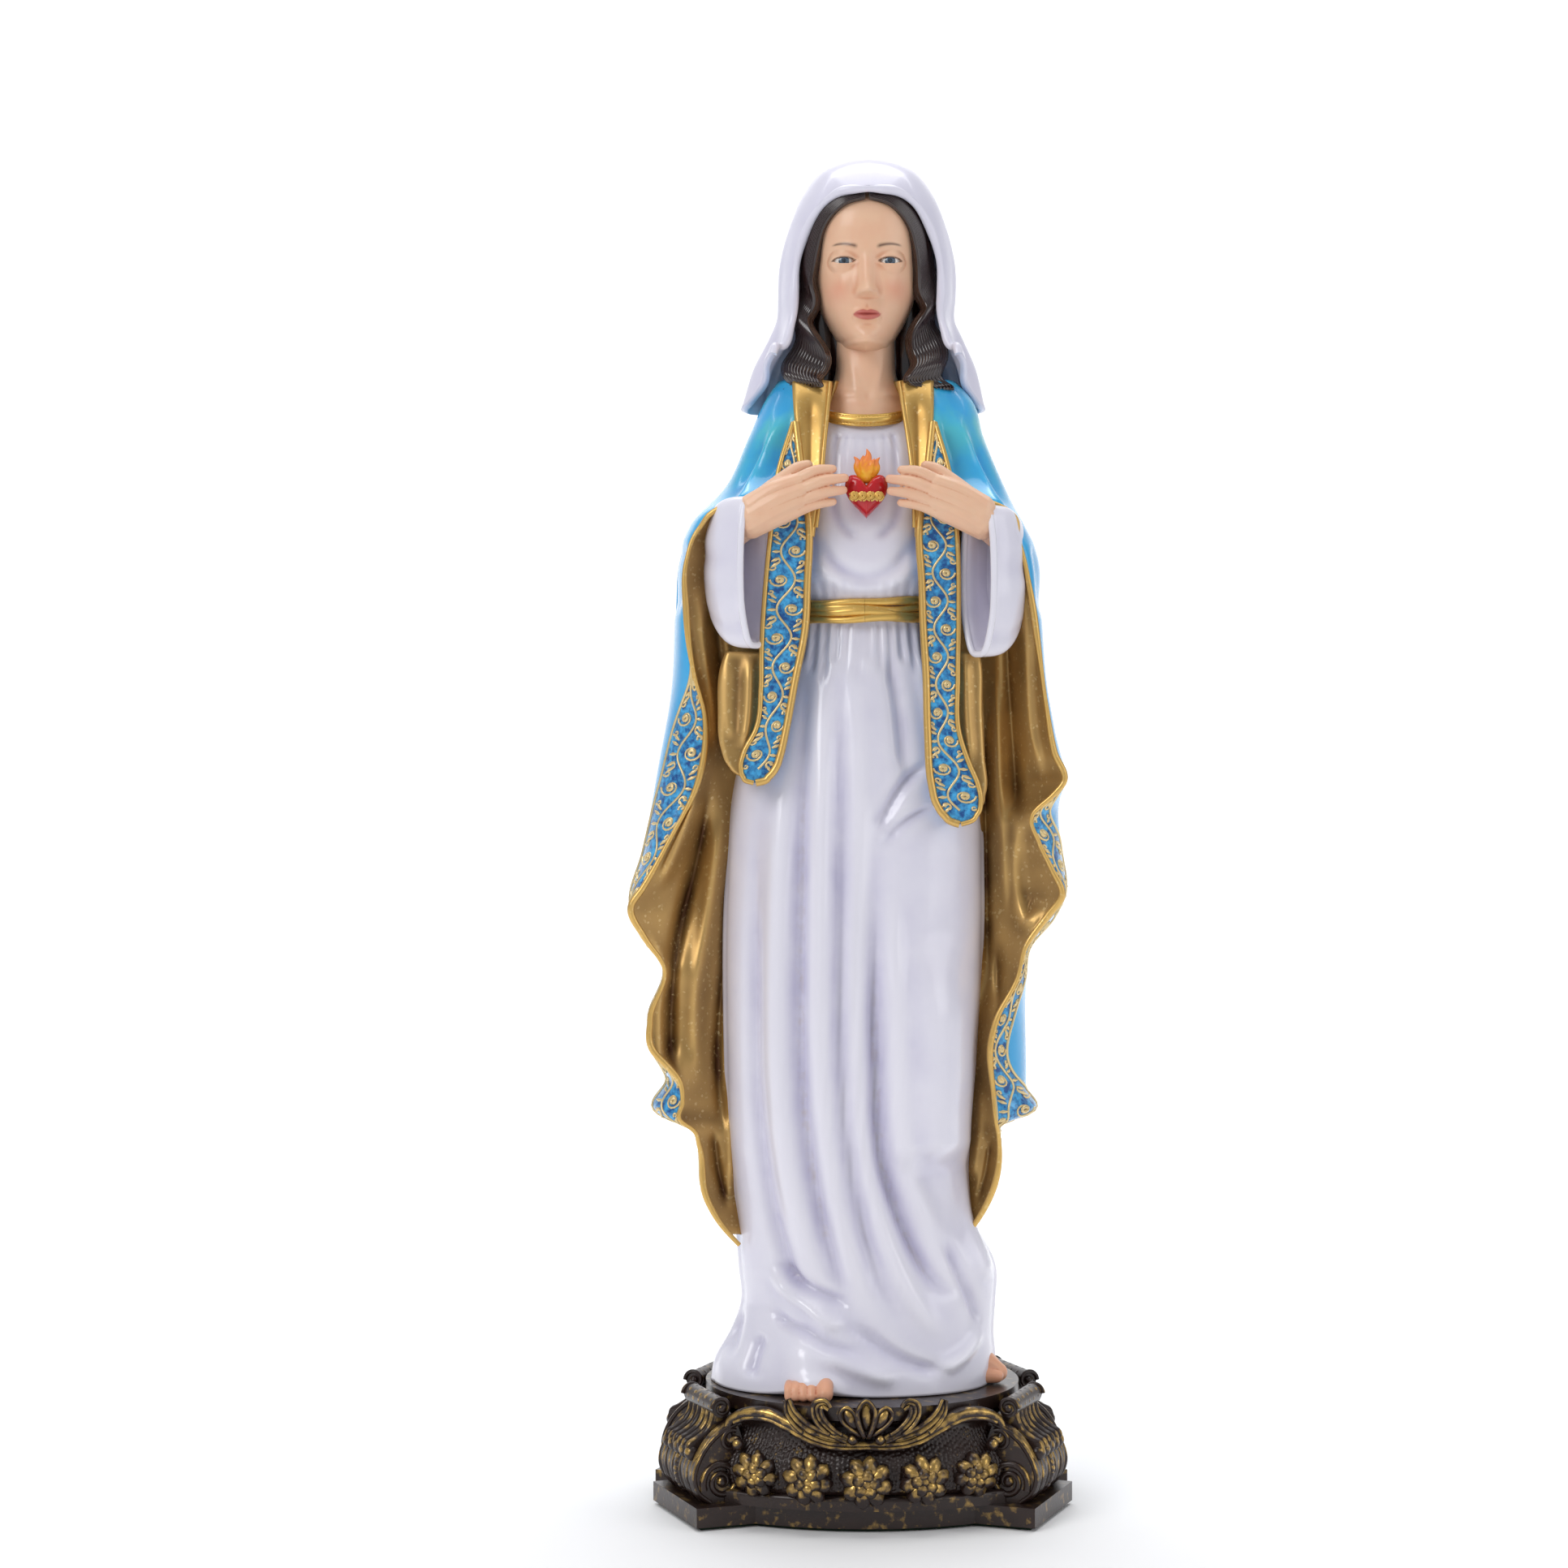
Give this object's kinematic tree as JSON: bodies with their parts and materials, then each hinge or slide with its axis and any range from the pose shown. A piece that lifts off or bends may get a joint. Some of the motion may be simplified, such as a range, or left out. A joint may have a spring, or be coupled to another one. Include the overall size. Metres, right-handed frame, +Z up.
{
  "type": "madonna statue",
  "caption": "Standing veiled lady in dress and long lined cloak, hands held to a flaming heart, on a scrolled oval pedestal; free-standing painted resin figure for a shelf or altar.",
  "frame": {"origin": "middle of the flat underside that the statue stands on", "axes": "+Z up through the figure, the figure faces -Y, its left hand is on the +X side"},
  "size_m": [0.0975, 0.0766, 0.3],
  "materials": {
    "bronzed_resin": "dark brown-black resin rubbed with antique gold on its high points",
    "felt": "pressed green felt",
    "steel": "bare steel wire and rod",
    "gilt_paint": "metallic gold paint over resin",
    "white_enamel": "glossy white enamel over resin, shaded in the folds",
    "blue_enamel": "glossy sky-blue enamel over resin, gold lining and relief borders",
    "flesh_enamel": "satin flesh-tone enamel over resin",
    "hair_enamel": "glossy dark brown enamel over resin",
    "eye_glass": "polished ball eye, painted iris",
    "red_enamel": "glossy red enamel over resin",
    "flame_enamel": "orange to yellow painted resin"
  },
  "bodies": {
    "root": {"belt": "gilt_paint", "bodice": "white_enamel", "bosses_back": "bronzed_resin", "bosses_front": "bronzed_resin", "cloak": "blue_enamel", "collar": "gilt_paint", "drum": "bronzed_resin", "eye_left": "eye_glass", "eye_right": "eye_glass", "felt_pad": "felt", "fixing_rod": "steel", "flame": "flame_enamel", "foot_left": "flesh_enamel", "foot_right": "flesh_enamel", "frame_back": "bronzed_resin", "frame_front": "bronzed_resin", "hair": "hair_enamel", "hand_left": "flesh_enamel", "hand_right": "flesh_enamel", "head": "flesh_enamel", "heart": "red_enamel", "lapel_left": "blue_enamel", "lapel_right": "blue_enamel", "lower_scroll_1": "bronzed_resin", "lower_scroll_2": "bronzed_resin", "lower_scroll_3": "bronzed_resin", "lower_scroll_4": "bronzed_resin", "plinth": "bronzed_resin", "rim_moulding": "bronzed_resin", "rose_garland": "gilt_paint", "shell_spray_back": "bronzed_resin", "shell_spray_front": "bronzed_resin", "skirt": "white_enamel", "sleeve_left": "white_enamel", "sleeve_right": "white_enamel", "top_disc": "bronzed_resin", "upper_scroll_1": "bronzed_resin", "upper_scroll_2": "bronzed_resin", "upper_scroll_3": "bronzed_resin", "upper_scroll_4": "bronzed_resin", "veil": "white_enamel", "wrist_pin_left": "steel", "wrist_pin_right": "steel"}
  },
  "joints": []
}
